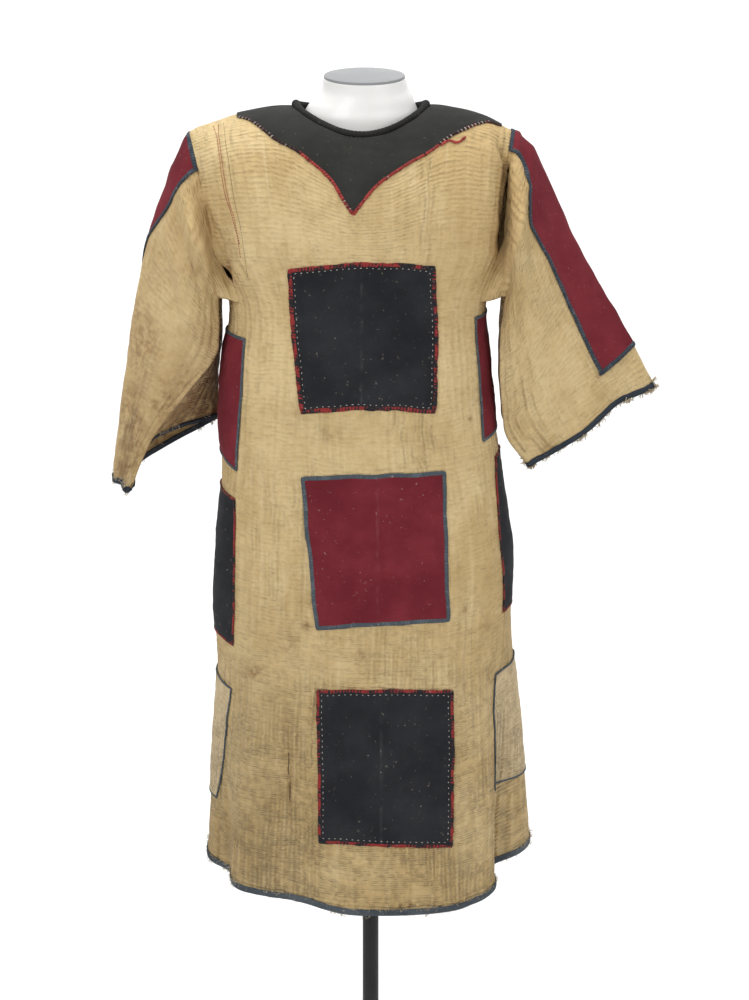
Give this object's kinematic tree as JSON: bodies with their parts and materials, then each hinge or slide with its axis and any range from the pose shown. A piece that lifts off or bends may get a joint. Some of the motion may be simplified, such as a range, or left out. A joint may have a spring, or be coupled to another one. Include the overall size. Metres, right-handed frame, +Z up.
{
  "type": "jibbah tunic on limbless dress form stand",
  "caption": "Quilted patchwork jibbah with wide sleeves, dark V yoke, rolled collar and square patches, on a limbless dress form with a pole and round foot.",
  "frame": {"origin": "centre of the underside of the stand's round foot, on the floor", "axes": "+Z up, +X to the viewer's right, the garment's front faces -Y"},
  "size_m": [0.7314, 0.35, 1.4381],
  "materials": {
    "quilted_cotton": "matt beige cotton, two layers quilted in fine rows, aged and stained",
    "maroon_cloth": "matt maroon wool cloth",
    "navy_cloth": "matt dark navy wool cloth",
    "beige_cloth": "matt beige cotton patch",
    "black_cloth": "matt near-black cloth",
    "red_piping": "twisted red, black and white thread",
    "mottled_edging": "dark edging with red and white thread",
    "slate_binding": "slate blue-grey cotton strip",
    "white_form": "smooth off-white, half matt",
    "grey_cap": "smooth pale grey",
    "dark_stand": "dark charcoal paint, satin"
  },
  "bodies": {
    "root": {"back_panel": "quilted_cotton", "collar_roll": "black_cloth", "cuff_binding_left": "slate_binding", "cuff_binding_right": "slate_binding", "form_neck": "white_form", "form_neck_cap": "grey_cap", "form_torso": "white_form", "front_panel": "quilted_cotton", "gore_left": "quilted_cotton", "gore_right": "quilted_cotton", "hem_binding": "slate_binding", "patch_back_lower": "navy_cloth", "patch_back_lower_binding": "mottled_edging", "patch_back_middle": "maroon_cloth", "patch_back_middle_binding": "slate_binding", "patch_back_upper": "navy_cloth", "patch_back_upper_binding": "mottled_edging", "patch_front_lower": "navy_cloth", "patch_front_lower_binding": "mottled_edging", "patch_front_middle": "maroon_cloth", "patch_front_middle_binding": "slate_binding", "patch_front_upper": "navy_cloth", "patch_front_upper_binding": "mottled_edging", "patch_side_left_lower": "beige_cloth", "patch_side_left_middle": "navy_cloth", "patch_side_left_upper": "maroon_cloth", "patch_side_right_lower": "beige_cloth", "patch_side_right_middle": "navy_cloth", "patch_side_right_upper": "maroon_cloth", "sleeve_band_left": "maroon_cloth", "sleeve_band_right": "maroon_cloth", "sleeve_left": "quilted_cotton", "sleeve_right": "quilted_cotton", "stand_flange": "dark_stand", "stand_foot": "dark_stand", "stand_pole": "dark_stand", "yoke_back": "black_cloth", "yoke_back_piping": "red_piping", "yoke_front": "black_cloth", "yoke_front_piping": "red_piping"}
  },
  "joints": []
}
